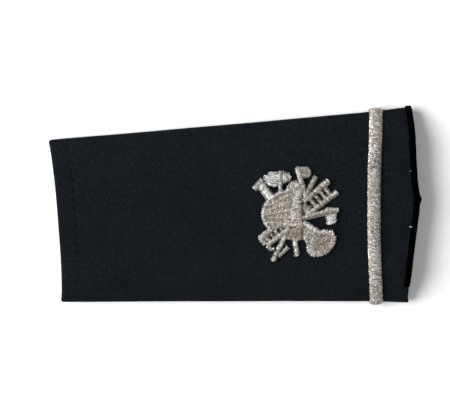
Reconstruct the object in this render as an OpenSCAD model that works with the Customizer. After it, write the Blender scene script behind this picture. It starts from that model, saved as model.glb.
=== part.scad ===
// Slip-on shoulder board: a tapered, flattened cloth sleeve that slides over a shoulder strap. A raised
// silver bar crosses its wide end, and an emblem worked in silver thread sits beside the bar.
// It lies on its back with the narrow end toward -X. Lengths are in millimetres.

/* [Sleeve] */
// Length of the side folds, corner to corner
board_len = 94.8; // [80:0.2:130]
// Width between the side folds at the wide end
wide_w = 54.2; // [50:0.2:70]
// Width between the side folds at the narrow end
narrow_w = 44.7; // [38:0.2:49]
// Height of the sleeve as it lies, over the cloth
sleeve_h = 6.8; // [6.4:0.1:9]
// Thickness of the cloth
cloth_t = 1; // [1:0.05:1.3]
// Outer radius of the pressed side folds
fold_r = 1.8; // [1.5:0.1:2.4]
// Slope of the front where it runs into the side folds, in degrees
fold_lean = 35; // [25:1:45]
// Share of the width over which the front lies flat
flat_share = 0.56; // [0.5:0.01:0.65]

/* [Ends] */
// Depth of the shallow point at the wide end, beyond its corners
point_d = 1.8; // [0:0.1:5]
// How far the narrow end is hollowed between its corners
hollow_d = 1.4; // [0:0.1:3]
// Roll of the turned cloth at the narrow end's lip
lip_d = 0.3; // [0.1:0.05:0.4]
// Distance of the hem's stitched line from the narrow end
hem_d = 5.6; // [4:0.1:10]
// Half width of the line that the stitches press into the cloth
stitch_w = 0.5; // [0.3:0.1:1]
// Depth of that line
stitch_dip = 0.2; // [0.1:0.05:0.35]

/* [End binding] */
// Width of the black binding on the front
bind_w = 1.6; // [1:0.1:3]
// Thickness of the binding tape
bind_t = 0.4; // [0.3:0.05:0.5]
// How far short of the lower corner the binding stops
bind_short = 4.4; // [2:0.1:10]

/* [Rank bar] */
// Distance of the bar's middle from the wide end's corners
bar_inset = 10.4; // [5:0.1:12]
// Width of the bar
bar_w = 3.65; // [2.5:0.05:5]
// Height of the bar over the cloth
bar_h = 0.65; // [0.4:0.05:1]
// How far the bar's ends bend toward the wide end
bar_bow = 1.3; // [0:0.1:3]
// How far the bar's ends wrap below the middle of the folds, in degrees
bar_wrap = 28; // [0:1:32]

/* [Emblem] */
// Size of the emblem: its drawing is laid out in hundredths of this
emblem_size = 25; // [20:0.1:26]
// Distance of the emblem's centre from the bar's middle
emblem_inset = 20.25; // [18:0.05:30]
// Sideways place of the emblem's centre
emblem_y = 0.8; // [-1:0.1:1]
// Thickness of the highest padded work, the helmet
helmet_t = 1; // [0.6:0.05:1.2]
// Thickness of the trumpet's work
trumpet_t = 0.85; // [0.5:0.05:1.2]
// Thickness of the tools' work
tool_t = 0.7; // [0.5:0.05:1.2]

/* [Clearances] */
// Gap between the cloth and what is sewn to it
seat_gap = 0.1; // [0.05:0.01:0.2]
// Gap between neighbouring motifs
motif_gap = 0.12; // [0.08:0.01:0.2]

/* [Hidden] */
// Share of the length, share of the taper: straight sides with a small flare at the wide end
TAPER = [[0, 0], [0.25, 0.21], [0.5, 0.43], [0.75, 0.67], [0.87, 0.79], [0.93, 0.875], [0.97, 0.96], [1, 1]];
// Share of the half width, share of the point's depth: the wide end's outline
EDGE = [
    [-1, 0], [-0.93, -0.3], [-0.76, -0.35], [-0.5, 0], [-0.26, 0.42],
    [-0.02, 0.86], [0.11, 1], [0.3, 0.6], [0.54, 0.36], [0.77, 0.28], [1, 0.1]
];
// Shares of the length between the hem and the wide end
RUN = [0.15, 0.25, 0.37, 0.5, 0.62, 0.75, 0.87, 0.93, 0.97, 1];

fold_top = 90 - fold_lean;
reach = point_d + seat_gap + bind_t;
end_x = board_len - (board_len + reach) / 2;
start_x = end_x - board_len;
bar_x = end_x - bar_inset;
emblem_x = bar_x - emblem_inset;
unit = emblem_size / 100;
open_gap = motif_gap / unit;

$fn = 48;

function half_w(s) = (narrow_w + (wide_w - narrow_w) * lookup(s, TAPER)) / 2;
function narrow_x(u) = start_x + hollow_d * (1 - pow(u, 4));
function wide_x(u) = end_x + point_d * lookup(u, EDGE);

// Where the flat front ends and where the front meets a fold, for a half width w
function flat_y(w) = flat_share * w;
function meet_y(w) = w - fold_r * (1 - cos(fold_top));
function meet_z() = fold_r * (1 + sin(fold_top));

// Height and slope of the front between them, t from 0 at the flat to 1 at the fold
function fall_z(w, t) =
    let (run = (meet_y(w) - flat_y(w)) * tan(fold_lean))
    sleeve_h - (3 * t * t - 2 * t * t * t) * (sleeve_h - meet_z()) + (t * t - t * t * t) * run;
function fall_slope(w, t) =
    let (l = meet_y(w) - flat_y(w), run = l * tan(fold_lean))
    atan((6 * (t - t * t) * (sleeve_h - meet_z()) - (2 * t - 3 * t * t) * run) / l);

// A point on the section, d outside the cloth: q runs 0 to 1 over the flat front, to 2 down
// the slope and to 3 round the fold, and is negative on the -Y side
function over(w, q, d) =
    let (s = sign(q), k = abs(q), t = k - 1)
    k <= 1 ? [q * flat_y(w), sleeve_h + d] :
    k <= 2 ? let (g = fall_slope(w, t), y = flat_y(w) + t * (meet_y(w) - flat_y(w)))
        [s * (y + d * sin(g)), fall_z(w, t) + d * cos(g)] :
    let (a = fold_top - (k - 2) * (fold_top + 90))
        [s * (w - fold_r + (fold_r + d) * cos(a)), fold_r + (fold_r + d) * sin(a)];
// The same parameter for a place y across the front
function q_at(w, y) =
    abs(y) <= flat_y(w) ? y / flat_y(w) :
    sign(y) * (1 + (abs(y) - flat_y(w)) / (meet_y(w) - flat_y(w)));

// Faces of a loft through m rings of n points, closed at both ends by flat caps
function loft_faces(m, n) = concat(
    [[for (j = [0:n - 1]) j]],
    [for (i = [0:m - 2], j = [0:n - 1]) [i * n + j, (i + 1) * n + j, (i + 1) * n + (j + 1) % n]],
    [for (i = [0:m - 2], j = [0:n - 1]) [i * n + j, (i + 1) * n + (j + 1) % n, i * n + (j + 1) % n]],
    [[for (j = [n - 1:-1:0]) (m - 1) * n + j]]
);

// The sleeve's section, as shares of the half width and heights: front, folds and back
FRONT_Q = concat(
    [for (k = [0:5]) 3 - k / 5],
    [for (k = [1:4]) 2 - k / 4],
    [for (k = [len(EDGE) - 1:-1:0]) if (abs(EDGE[k][0]) < flat_share - 0.01) EDGE[k][0] / flat_share],
    [for (k = [0:4]) -1 - k / 4],
    [for (k = [1:5]) -2 - k / 5]
);
BACK_U = [for (e = EDGE) if (abs(e[0]) < 0.9) e[0]];

function section(w, d) = concat(
    [for (q = FRONT_Q) over(w, q, d)],
    [for (u = BACK_U) [u * w, -d]]
);
function station(s, d) =
    let (w = half_w(s), face = section(w, 0), skin = section(w, d))
    [for (j = [0:len(face) - 1])
        let (u = face[j][0] / w, x0 = narrow_x(u), x1 = wide_x(u))
        [x0 + s * (x1 - x0), skin[j][0], skin[j][1]]];

// Rows of the sleeve: share of the length, dip of the outer face, dip of the inner face
ROWS = concat(
    [[0, lip_d, lip_d], [lip_d / board_len, 0, 0]],
    [for (k = [-1:1]) [(hem_d + k * stitch_w) / board_len, k == 0 ? stitch_dip : 0, 0]],
    [for (s = RUN) [s, 0, 0]]
);

module sleeve() {
    m = len(ROWS);
    n = len(FRONT_Q) + len(BACK_U);
    outer = [for (r = ROWS) each station(r[0], -r[1])];
    inner = [for (r = ROWS) each station(r[0], r[2] - cloth_t)];
    inside = m * n * [1, 1, 1];
    wall = [for (i = [0:m - 2], j = [0:n - 1])
        [i * n + j, (i + 1) * n + j, (i + 1) * n + (j + 1) % n, i * n + (j + 1) % n]];
    faces = concat(
        [for (f = wall) each [[f[0], f[1], f[2]], [f[0], f[2], f[3]]]],
        [for (f = wall) each [[f[2], f[1], f[0]] + inside, [f[3], f[2], f[0]] + inside]],
        [for (e = [0, m - 1], j = [0:n - 1])
            let (a = e * n + j, b = e * n + (j + 1) % n, c = m * n)
            each e == 0 ? [[a, b, c + b], [a, c + b, c + a]] : [[a, c + b, b], [a, c + a, c + b]]]
    );
    color("#17191c") polyhedron(points = concat(outer, inner), faces = faces, convexity = 6);
}

// Tape folded over the front's edge: legs outside and inside the cloth, and the fold between them.
// It stops just round the upper fold, short of the place below
BIND_TOP = 2.3;
module end_binding() {
    w = wide_w / 2;
    out = seat_gap + bind_t;
    in = -cloth_t - seat_gap;
    leg = [
        [-bind_w, out], [out, out], [out, in - bind_t], [-bind_w, in - bind_t],
        [-bind_w, in], [seat_gap, in], [seat_gap, seat_gap], [-bind_w, seat_gap]
    ];
    stop = q_at(w, bind_short - w);
    path = concat(
        [for (q = FRONT_Q) if (q < BIND_TOP && q > stop + 0.1) q],
        [stop]
    );
    rings = [for (q = path, p = leg)
        let (u = over(w, q, 0)[0] / w, at = over(w, q, p[1]))
        [wide_x(u) + p[0], at[0], at[1]]];
    color("#050505") polyhedron(points = rings, faces = loft_faces(len(path), len(leg)), convexity = 8);
}

// Padded satin bar: a half-round section that follows the front. Its ends round off on the folds,
// over this run of the section's parameter and down to this share of the full section
CAP_RUN = 0.066;
CAP_SHARE = 0.45;
module rank_bar() {
    s = (bar_x - start_x) / board_len;
    w = half_w(s);
    q_end = 2 + (fold_top + bar_wrap) / (fold_top + 90);
    arc = 8;
    n = 26;
    cap = [for (k = [0:3]) q_end - CAP_RUN * (1 - cos(k * 30))];
    path = concat(
        [for (k = [0:3]) [-cap[k], sin(k * 30)]],
        [for (k = [1:n - 1]) [-cap[3] + 2 * cap[3] * k / n, 1]],
        [for (k = [3:-1:0]) [cap[k], sin(k * 30)]]
    );
    rings = [for (p = path, k = [0:arc])
        let (
            full = max(p[1], CAP_SHARE),
            u = over(w, p[0], 0)[0] / w,
            x = bar_x + bar_bow * pow(abs(u), 3) - bar_w / 2 * full * cos(180 * k / arc),
            here = half_w((x - narrow_x(u)) / (wide_x(u) - narrow_x(u))),
            at = over(here, p[0], seat_gap + bar_h * full * sin(180 * k / arc))
        )
        [x, at[0], at[1]]];
    color("#c9c7c0") polyhedron(points = rings, faces = loft_faces(len(path), arc + 1), convexity = 6);
}

// A straight bar of the drawing from a to b, w wide at a and w2 at b
module stroke(a, b, w, w2 = 0) {
    e = (w2 > 0 ? w2 : w) / 2;
    d = (b - a) / norm(b - a);
    n = [-d[1], d[0]];
    polygon([a + n * w / 2, a - n * w / 2, b - n * e, b + n * e]);
}
module soft_corners(r) { offset(r = r) offset(delta = -r) children(); }

// Helmet seen from the side, its dome toward the narrow end
HELMET = [-6, 0.8];
DOME = [31.2, 25.6];
RIM_W = 3.6;
HELMET_FOOT = -14;
module dome(inset = 0) {
    translate(HELMET) scale([(DOME[0] - inset) / DOME[1], (DOME[1] - inset) / DOME[1]]) circle(r = DOME[1]);
}
// The comb and the brim are rings about one far centre, so that both bend the same way. They meet
// at the comb's foot
COMB_FOOT = -1.6;
COMB_W = 4.4;
BRIM_W = 5.8;
BEND_R = 93.6;
BEND = [COMB_FOOT + BEND_R, 5.6];
module bend_disc(r) { translate(BEND) circle(r = r, $fn = 180); }
module bend_ring(r0, r1, y0, y1) {
    intersection() {
        difference() {
            bend_disc(r1);
            bend_disc(r0);
        }
        translate([-20, y0]) square([40, y1 - y0]);
    }
}
// The dome's own half, down to a straight foot
module dome_half(inset, foot) {
    difference() {
        intersection() {
            dome(inset);
            translate([-60, foot]) square([70, 60]);
        }
        bend_disc(BEND_R + COMB_W + open_gap);
    }
}
module crest_shape() { bend_ring(BEND_R, BEND_R + COMB_W, HELMET_FOOT, 30); }
module rim_shape() {
    difference() {
        dome_half(0, HELMET_FOOT);
        dome(RIM_W);
    }
}
module crown_shape() { dome_half(RIM_W + open_gap, HELMET_FOOT); }
module brim_shape() {
    soft_corners(1) union() {
        bend_ring(BEND_R - BRIM_W, BEND_R - open_gap, -16, 32);
        polygon([[-9.8, 28], [-7.8, 32], [-4.6, 35], [0.4, 35.6], [2.8, 32.4], [5.4, 26], [1, 24]]);
        polygon([[-12.6, -24.4], [-11, -27], [-6, -28.4], [0, -29.4], [4.8, -27.8], [5.2, -12], [-1, -10],
            [-4.4, -15.4]]);
    }
}
module helmet_shape() {
    crest_shape();
    dome_half(0, HELMET_FOOT);
    brim_shape();
}

// Speaking trumpet: mouthpiece, tube, flared neck, and a bell seen half from the front
BELL = [25, -33.4];
BELL_HALF = [17.2, 12.2];
BELL_TURN = 40;
BELL_RIM = 3.6;
module bell_ellipse(inset) {
    translate(BELL) rotate(BELL_TURN)
        scale([(BELL_HALF[0] - inset) / BELL_HALF[1], (BELL_HALF[1] - inset) / BELL_HALF[1]])
            circle(r = BELL_HALF[1]);
}
module mouthpiece_shape() { soft_corners(1) stroke([-44, 28.4], [-35.6, 38], 5.2); }
module tube_shape() { stroke([-37.8, 33.4], [-25.6, 15.2], 8, 9.2); }
module neck_shape() {
    polygon([[3, -28], [6.6, -28.4], [8.8, -32], [9.8, -36.4], [16, -34], [23, -18.8], [18.4, -16],
        [14.4, -12.6], [10.4, -9.6], [6, -9.8], [3, -20]]);
}
module trumpet_shape() {
    mouthpiece_shape();
    tube_shape();
    neck_shape();
    bell_ellipse(0);
}

// Tools behind them: three axes, a hooked pole and a ladder
module axe_left_shape() {
    soft_corners(0.8) union() {
        polygon([[-35, 40.8], [-30.4, 43.6], [-24, 44.8], [-19, 46.2], [-12, 45.8], [-7.2, 43], [-5.8, 39.4],
            [-7.2, 36.2], [-11, 33.8], [-15, 32.8], [-20, 31.2], [-25.6, 30.8], [-29.6, 32.6], [-33.6, 37]]);
        stroke([-16.6, 36], [-17.4, 22], 3.8);
    }
}
module axe_left_foot_shape() { soft_corners(1) stroke([-3.8, -27], [-1, -46.2], 5.2); }
module axe_top_shape() {
    soft_corners(0.7) union() {
        stroke([1, 49.4], [9.2, 18], 4.4);
        polygon([[2, 49.2], [12, 49.2], [14.4, 46.4], [15.4, 43], [14.8, 40], [12, 38.6], [8, 38.2],
            [4, 36.4]]);
    }
}
module axe_right_shape() {
    soft_corners(0.7) union() {
        stroke([4, -5], [36, 0.8], 6.4, 5.6);
        polygon([[32, 3.6], [34.6, 4.6], [40.4, 4.6], [44, 1.4], [43, -0.8], [41, -1.8], [32, -1.6]]);
        polygon([[28.6, -4], [30, -8], [31, -12.8], [33.8, -13.4], [38, -11.6], [41.4, -9.4], [40.2, -6.4],
            [40.8, -0.6], [30, 0]]);
    }
}
module pole_tip_shape() { soft_corners(1) stroke([20.6, 39.6], [5, 12], 5.4); }
module pole_foot_shape() {
    soft_corners(0.8) union() {
        stroke([-26.4, -50.6], [-11, -19.6], 6);
        stroke([-20.4, -45.2], [-10.2, -36.4], 5.6, 8.2);
    }
}
// The ladder lies at its own slant and narrows toward its foot; its slots sit between the rungs
LADDER = [24.4, 17.6];
LADDER_TURN = 37;
LADDER_HALF = [7.9, 9.8];
LADDER_RUN = [-77, 12.4];
RAIL_W = 6.2;
SLOT_W = 2.2;
SLOTS = [-67.6, -62, -56.4, -13, -6.5, 0, 6.5];
module ladder_shape() {
    translate(LADDER) rotate(LADDER_TURN) translate([0, -1]) {
        difference() {
            polygon([
                [LADDER_RUN[0], -LADDER_HALF[0]], [LADDER_RUN[1], -LADDER_HALF[1]],
                [LADDER_RUN[1], LADDER_HALF[1]], [LADDER_RUN[0], LADDER_HALF[0]]
            ]);
            for (x = SLOTS) {
                half_full = lookup(x, [[LADDER_RUN[0], LADDER_HALF[0]], [LADDER_RUN[1], LADDER_HALF[1]]]);
                half = half_full - RAIL_W;
                translate([x - SLOT_W / 2, -half]) square([SLOT_W, 2 * half]);
            }
        }
        for (side = [-1, 1])
            translate([10, side * (LADDER_HALF[1] - RAIL_W / 2) - RAIL_W / 2]) square([7, RAIL_W]);
        translate([13, LADDER_HALF[1] - RAIL_W + 1.4]) square([4, RAIL_W]);
    }
}
// Foot of the ladder: a cap across the upper rail and a hook below the lower one
module ladder_foot_shape() {
    ladder_shape();
    translate(LADDER) rotate(LADDER_TURN) translate([-79, -2.6]) square([6, 9.2]);
    soft_corners(0.8)
        polygon([[-31.6, -30.4], [-33.6, -35], [-31.8, -39], [-25.4, -39.2], [-24.8, -36], [-23.6, -31],
            [-27, -28]]);
}

// Lifts a drawn motif to its place on the front, t thick, clear of the motifs named as its children
module worked(t) {
    translate([emblem_x, emblem_y, sleeve_h + seat_gap]) linear_extrude(height = t) scale(unit) children();
}
module clear_of() {
    difference() {
        children(0);
        offset(delta = open_gap) union() children([1:$children - 1]);
    }
}

module helmet_crest() { color("#e6e4df") worked(helmet_t) crest_shape(); }
module helmet_rim() { color("#e6e4df") worked(helmet_t) rim_shape(); }
module helmet_crown() { color("#9b9488") worked(helmet_t - 0.15) crown_shape(); }
module helmet_brim() {
    color("#b3ada2") worked(helmet_t - 0.25) clear_of() {
        brim_shape();
        crest_shape();
        dome_half(0, HELMET_FOOT);
        axe_top_shape();
    }
}

module trumpet_rim() {
    color("#c4c0b6") worked(trumpet_t) difference() {
        bell_ellipse(0);
        bell_ellipse(BELL_RIM);
    }
}
module trumpet_mouth() { color("#8d8474") worked(trumpet_t - 0.25) bell_ellipse(BELL_RIM + open_gap); }
module trumpet_neck() {
    color("#cfccc4") worked(trumpet_t) clear_of() {
        neck_shape();
        bell_ellipse(0);
        helmet_shape();
    }
}
module trumpet_tube() {
    color("#cfccc4") worked(trumpet_t) clear_of() {
        tube_shape();
        mouthpiece_shape();
        helmet_shape();
    }
}
module trumpet_mouthpiece() { color("#b9b6ad") worked(trumpet_t) mouthpiece_shape(); }

module axe_left() {
    color("#dedcd8") worked(tool_t) clear_of() {
        axe_left_shape();
        helmet_shape();
        trumpet_shape();
    }
}
module axe_left_foot() {
    color("#c2beb6") worked(tool_t) clear_of() {
        axe_left_foot_shape();
        helmet_shape();
        trumpet_shape();
    }
}
module axe_top() { color("#b0aa9c") worked(tool_t) axe_top_shape(); }
module axe_right() {
    color("#cfcdc8") worked(tool_t) clear_of() {
        axe_right_shape();
        helmet_shape();
        trumpet_shape();
    }
}
module pole_tip() {
    color("#aaa69c") worked(tool_t - 0.05) clear_of() {
        pole_tip_shape();
        helmet_shape();
        axe_top_shape();
    }
}
module pole_foot() {
    color("#bfbcb2") worked(tool_t - 0.05) clear_of() {
        pole_foot_shape();
        helmet_shape();
        trumpet_shape();
        axe_left_foot_shape();
        ladder_foot_shape();
    }
}
module ladder_top() {
    color("#a9a49a") worked(tool_t - 0.15) clear_of() {
        intersection() {
            ladder_shape();
            polygon([[4.4, 60], [4.4, 7], [7.8, -2], [60, -2], [60, 60]]);
        }
        helmet_shape();
        trumpet_shape();
        axe_top_shape();
        axe_right_shape();
        pole_tip_shape();
    }
}
module ladder_foot() {
    color("#a9a49a") worked(tool_t - 0.15) clear_of() {
        intersection() {
            ladder_foot_shape();
            translate([-60, -60]) square([53, 60]);
        }
        helmet_shape();
        trumpet_shape();
        axe_left_foot_shape();
    }
}

sleeve();
end_binding();
rank_bar();
helmet_crest();
helmet_rim();
helmet_crown();
helmet_brim();
trumpet_mouthpiece();
trumpet_tube();
trumpet_neck();
trumpet_rim();
trumpet_mouth();
axe_left();
axe_left_foot();
axe_top();
axe_right();
pole_tip();
pole_foot();
ladder_top();
ladder_foot();
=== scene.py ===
import math

import bmesh
import bpy
import numpy as np
from mathutils import Matrix, Vector, noise


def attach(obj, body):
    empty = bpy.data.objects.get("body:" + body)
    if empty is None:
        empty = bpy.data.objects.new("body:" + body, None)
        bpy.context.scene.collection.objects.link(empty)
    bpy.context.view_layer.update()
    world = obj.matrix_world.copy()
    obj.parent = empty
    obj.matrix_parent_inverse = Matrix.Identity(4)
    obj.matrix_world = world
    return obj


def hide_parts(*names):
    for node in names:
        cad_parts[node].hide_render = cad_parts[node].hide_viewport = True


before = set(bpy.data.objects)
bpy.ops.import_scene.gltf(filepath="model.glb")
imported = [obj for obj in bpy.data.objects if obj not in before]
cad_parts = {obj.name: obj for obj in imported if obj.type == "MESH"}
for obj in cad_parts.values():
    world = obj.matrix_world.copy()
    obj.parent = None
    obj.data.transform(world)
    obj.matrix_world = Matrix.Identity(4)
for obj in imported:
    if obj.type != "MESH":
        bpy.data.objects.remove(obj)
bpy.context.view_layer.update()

# ---------------------------------------------------------------- Sleeve
# A tube of dark navy wool-blend twill, pressed flat with two sharp side folds. The front stands off the
# back, because the embroidery stiffens it. The narrow end is turned in and stitched down as a hem.

# Lengths on the board are in millimetres, and are turned into metres where a mesh is made
MM = 0.001
BOARD_LEN, WIDE_W, NARROW_W, SLEEVE_H = 94.8, 54.2, 44.7, 6.8
CLOTH_T, FOLD_R, FOLD_LEAN, FLAT_SHARE = 1.0, 1.8, math.radians(35), 0.56
POINT_D, HOLLOW_D, SEAT_GAP, TAPE_T = 1.8, 1.4, 0.1, 0.4
HEM_D, HEM_STITCH = 4.7, 2.5
# Shares of the length and of the taper: the sides flare a little near the wide end
TAPER = [(0, 0), (0.25, 0.21), (0.5, 0.43), (0.75, 0.67), (0.87, 0.79), (0.93, 0.875), (0.97, 0.96), (1, 1)]
# Shares of the half width and of the shallow point's depth
WIDE_EDGE = [
    (-1, 0), (-0.93, -0.3), (-0.76, -0.35), (-0.5, 0), (-0.26, 0.42),
    (-0.02, 0.86), (0.11, 1), (0.3, 0.6), (0.54, 0.36), (0.77, 0.28), (1, 0.1),
]
# Depths of the cloth's waves, of the drawn-in hem and of the puckers round the embroidery
SLOW_WAVE, FINE_WAVE, HEM_DIP, EMBLEM_PUCKER, BAR_PUCKER = 0.14, 0.05, 0.13, 0.12, 0.1
BAR_INSET, BAR_EDGE = 10.4, 2.2
EMBLEM_ALONG, EMBLEM_ASIDE, EMBLEM_EDGE = 64.5, 0.8, 14.5
END_X = BOARD_LEN - (BOARD_LEN + POINT_D + SEAT_GAP + TAPE_T) / 2
START_X = END_X - BOARD_LEN
FOLD_TOP = math.pi / 2 - FOLD_LEAN


def half_width(s):
    return (NARROW_W + (WIDE_W - NARROW_W) * np.interp(s, *zip(*TAPER))) / 2


def narrow_end(u):
    return START_X + HOLLOW_D * (1 - u**4)


def wide_end(u):
    return END_X + POINT_D * np.interp(u, *zip(*WIDE_EDGE))


def girth_point(w, q, out):
    """A point of the section of half width w, out above the cloth. q is 0 on the front's middle, 1 where
    the flat ends, 2 at the fold, 3 under it and 4 on the back's middle, and negative on the other side."""
    side, k = math.copysign(1, q), abs(q)
    flat = FLAT_SHARE * w
    meet = w - FOLD_R * (1 - math.cos(FOLD_TOP))
    drop = SLEEVE_H - FOLD_R * (1 + math.sin(FOLD_TOP))
    if k <= 1:
        return q * flat, SLEEVE_H + out
    if k <= 2:
        t, run = k - 1, (meet - flat) * math.tan(FOLD_LEAN)
        z = SLEEVE_H - (3 * t * t - 2 * t**3) * drop + (t * t - t**3) * run
        fall = math.atan((6 * (t - t * t) * drop - (2 * t - 3 * t * t) * run) / (meet - flat))
        y = flat + t * (meet - flat)
        return side * (y + out * math.sin(fall)), z + out * math.cos(fall)
    if k <= 3:
        a = FOLD_TOP - (k - 2) * (FOLD_TOP + math.pi / 2)
        return side * (w - FOLD_R + (FOLD_R + out) * math.cos(a)), FOLD_R + (FOLD_R + out) * math.sin(a)
    return side * (w - FOLD_R) * (4 - k), -out


def on_cloth(s, q, out):
    """A point of the board at the share s of its length, out above the cloth."""
    w = half_width(s)
    u = girth_point(w, q, 0)[0] / w
    x = narrow_end(u) + s * (wide_end(u) - narrow_end(u))
    y, z = girth_point(w, q, out)
    return Vector((x, y, z))


def girth_at(w, y):
    """The place q on the front that lies at y."""
    flat = FLAT_SHARE * w
    meet = w - FOLD_R * (1 - math.cos(FOLD_TOP))
    return y / flat if abs(y) <= flat else math.copysign(1 + (abs(y) - flat) / (meet - flat), y)


def cloth_dip(s, q, girth):
    """How far the cloth lies in from its even shape: slow waves, the drawn-in hem line, and on the front
    the puckers that tight stitches leave round the emblem and along the bar."""
    along = s * BOARD_LEN
    slow = 0.5 + 0.5 * noise.noise(Vector((along / 17, girth / 13, 4.2)))
    fine = 0.5 + 0.5 * noise.noise(Vector((along / 6, girth / 5, 9.7)))
    dip = SLOW_WAVE * slow + FINE_WAVE * fine
    pull = 0.55 + 0.45 * math.cos(2 * math.pi * girth / HEM_STITCH)
    dip += HEM_DIP * pull * math.exp(-(((along - HEM_D) / 0.45) ** 2))
    if abs(q) < 2:
        away = math.hypot(along - EMBLEM_ALONG, girth - EMBLEM_ASIDE)
        turn = math.atan2(girth - EMBLEM_ASIDE, along - EMBLEM_ALONG)
        ray = 0.5 + 0.5 * math.sin(11 * turn + 2.3 * noise.noise(Vector((turn * 2, 1.5, 0))))
        dip += EMBLEM_PUCKER * ray * math.exp(-(((away - EMBLEM_EDGE) / 4) ** 2))
        from_bar = abs(along - (BOARD_LEN - BAR_INSET)) - BAR_EDGE
        ray = 0.5 + 0.5 * math.sin(girth / 1.15 + 2 * noise.noise(Vector((girth / 4, 7.1, 0))))
        dip += BAR_PUCKER * ray * math.exp(-((max(from_bar, 0) / 2.6) ** 2))
    return dip


def cloth_rows():
    """Once round the wall at one place of the girth: distance from the narrow end, depth below the
    outer face. The turned-in hem makes the wall thicker at the narrow end."""
    hem_t, hem_in, lip, edge = 0.5, HEM_D + 2.1, 0.7, 0.5
    outer = list(np.arange(lip, BOARD_LEN - edge, 0.75)) + [BOARD_LEN - edge]
    outer = sorted(outer + [HEM_D - 0.45, HEM_D - 0.2, HEM_D + 0.2, HEM_D + 0.45])
    rows = [(a, 0.0) for a in outer]
    rows += [(BOARD_LEN - edge + edge * math.cos(t), edge - edge * math.sin(t))
             for t in np.linspace(math.pi / 2, -math.pi / 2, 7)[1:-1]]
    rows += [(a, CLOTH_T) for a in np.arange(BOARD_LEN - edge, hem_in + 1, -2.0)]
    rows += [(hem_in + 0.35, CLOTH_T), (hem_in + 0.1, CLOTH_T + 0.1), (hem_in, CLOTH_T + 0.6 * hem_t),
             (hem_in - 0.15, CLOTH_T + hem_t)]
    rows += [(a, CLOTH_T + hem_t) for a in np.arange(hem_in - 0.6, lip + 0.3, -0.9)]
    deep = (CLOTH_T + hem_t) / 2
    rows += [(lip - lip * math.cos(t), deep - deep * math.sin(t))
             for t in np.linspace(-math.pi / 2, math.pi / 2, 9)[:-1]]
    return rows


def mesh_of(name, points, faces, uvs):
    """A mesh in metres from points in millimetres, with a uv map that follows the weave."""
    mesh = bpy.data.meshes.new(name)
    mesh.from_pydata([Vector(p) * MM for p in points], [], faces)
    mesh.uv_layers.new(name="weave").data.foreach_set("uv", np.asarray(uvs, float).ravel() * MM)
    mesh.shade_smooth()
    mesh.update()
    return mesh


def piece(name, mesh, *materials):
    """Puts a finished mesh on the board as a named piece."""
    made = bpy.data.objects.new(name, mesh)
    bpy.context.scene.collection.objects.link(made)
    for material in materials:
        mesh.materials.append(material)
    return made


def ring_grid(rows, count, closed_path):
    """Quads over rows of closed rings, each corner by its row and its place in the row."""
    for i in range(rows if closed_path else rows - 1):
        for j in range(count):
            yield ((i, j), ((i + 1) % rows, j), ((i + 1) % rows, (j + 1) % count), (i, (j + 1) % count))


def cloth_sleeve():
    # Steps over the front's flat, the slope beside it, the fold and the back
    half = [part + k / steps for part, steps in enumerate((24, 14, 12, 16)) for k in range(steps)]
    places = [-4.0] + [-q for q in reversed(half[1:])] + half
    rows, w_mid, bits = cloth_rows(), half_width(0.5), 40
    points, where = [], []
    for q in places:
        girth = sum(math.dist(girth_point(w_mid, q * (k + 1) / bits, 0), girth_point(w_mid, q * k / bits, 0))
                    for k in range(bits))
        girth = math.copysign(girth, q)
        for along, deep in rows:
            s = along / BOARD_LEN
            points.append(on_cloth(s, q, -deep - cloth_dip(s, q, girth)))
            where.append((along if deep <= 0.6 * CLOTH_T else along + 0.2, girth * (half_width(s) / w_mid)))
    count, faces, uvs = len(rows), [], []
    for quad in ring_grid(len(places), count, True):
        faces.append([i * count + j for i, j in quad])
        for i, j in quad:
            along, girth = where[i * count + j]
            if quad[0][0] == len(places) - 1 and i == 0:
                girth = -girth
            uvs.append((along, girth))
    return mesh_of("sleeve", points, faces, uvs)


class Wire:
    """An output of a node. A sum written with wires adds the nodes that work it out."""

    def __init__(self, tree, socket):
        self.tree, self.socket = tree, socket

    def of(self, name):
        """Another output of the same node."""
        return Wire(self.tree, self.socket.node.outputs[name])

    def is_vector(self):
        return self.socket.type in ("VECTOR", "RGBA")

    def __add__(self, other):
        return calc("ADD", self, other)

    def __sub__(self, other):
        return calc("SUBTRACT", self, other)

    def __rsub__(self, other):
        return calc("SUBTRACT", other, self)

    def __mul__(self, other):
        if self.is_vector():
            return node(self.tree, "ShaderNodeVectorMath", {0: self, "Scale": other}, operation="SCALE")
        return calc("MULTIPLY", self, other)

    def __truediv__(self, other):
        return calc("DIVIDE", self, other)

    def __pow__(self, other):
        return calc("POWER", self, other)

    def __abs__(self):
        return calc("ABSOLUTE", self)


def node(tree, kind, inputs=None, **settings):
    """Adds a node with its settings, gives its inputs values or wires, and returns its first output."""
    made = tree.nodes.new(kind)
    for key, value in settings.items():
        setattr(made, key, value)
    for key, value in (inputs or {}).items():
        if isinstance(key, int):
            socket = made.inputs[key]
        else:
            socket = next(s for s in made.inputs if s.name == key and s.enabled)
        if isinstance(value, Wire):
            tree.links.new(value.socket, socket)
        else:
            socket.default_value = value
    return Wire(tree, next((s for s in made.outputs if s.enabled), None))


def calc(operation, *values):
    """Adds a math node for numbers, or for vectors where one of the wires carries one."""
    wires = [value for value in values if isinstance(value, Wire)]
    kind = "ShaderNodeVectorMath" if any(wire.is_vector() for wire in wires) else "ShaderNodeMath"
    made = node(wires[0].tree, kind, dict(enumerate(values)), operation=operation)
    return made.of("Value") if operation in ("DOT_PRODUCT", "LENGTH") else made


def stretch(value, low, high, start=0.0, stop=1.0):
    """Runs from start to stop as the value goes from low to high, and no further."""
    return node(value.tree, "ShaderNodeMapRange", {
        "Value": value, "From Min": low, "From Max": high, "To Min": start, "To Max": stop})


def split(vector):
    made = node(vector.tree, "ShaderNodeSeparateXYZ", {0: vector})
    return [made.of(axis) for axis in "XYZ"]


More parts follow.
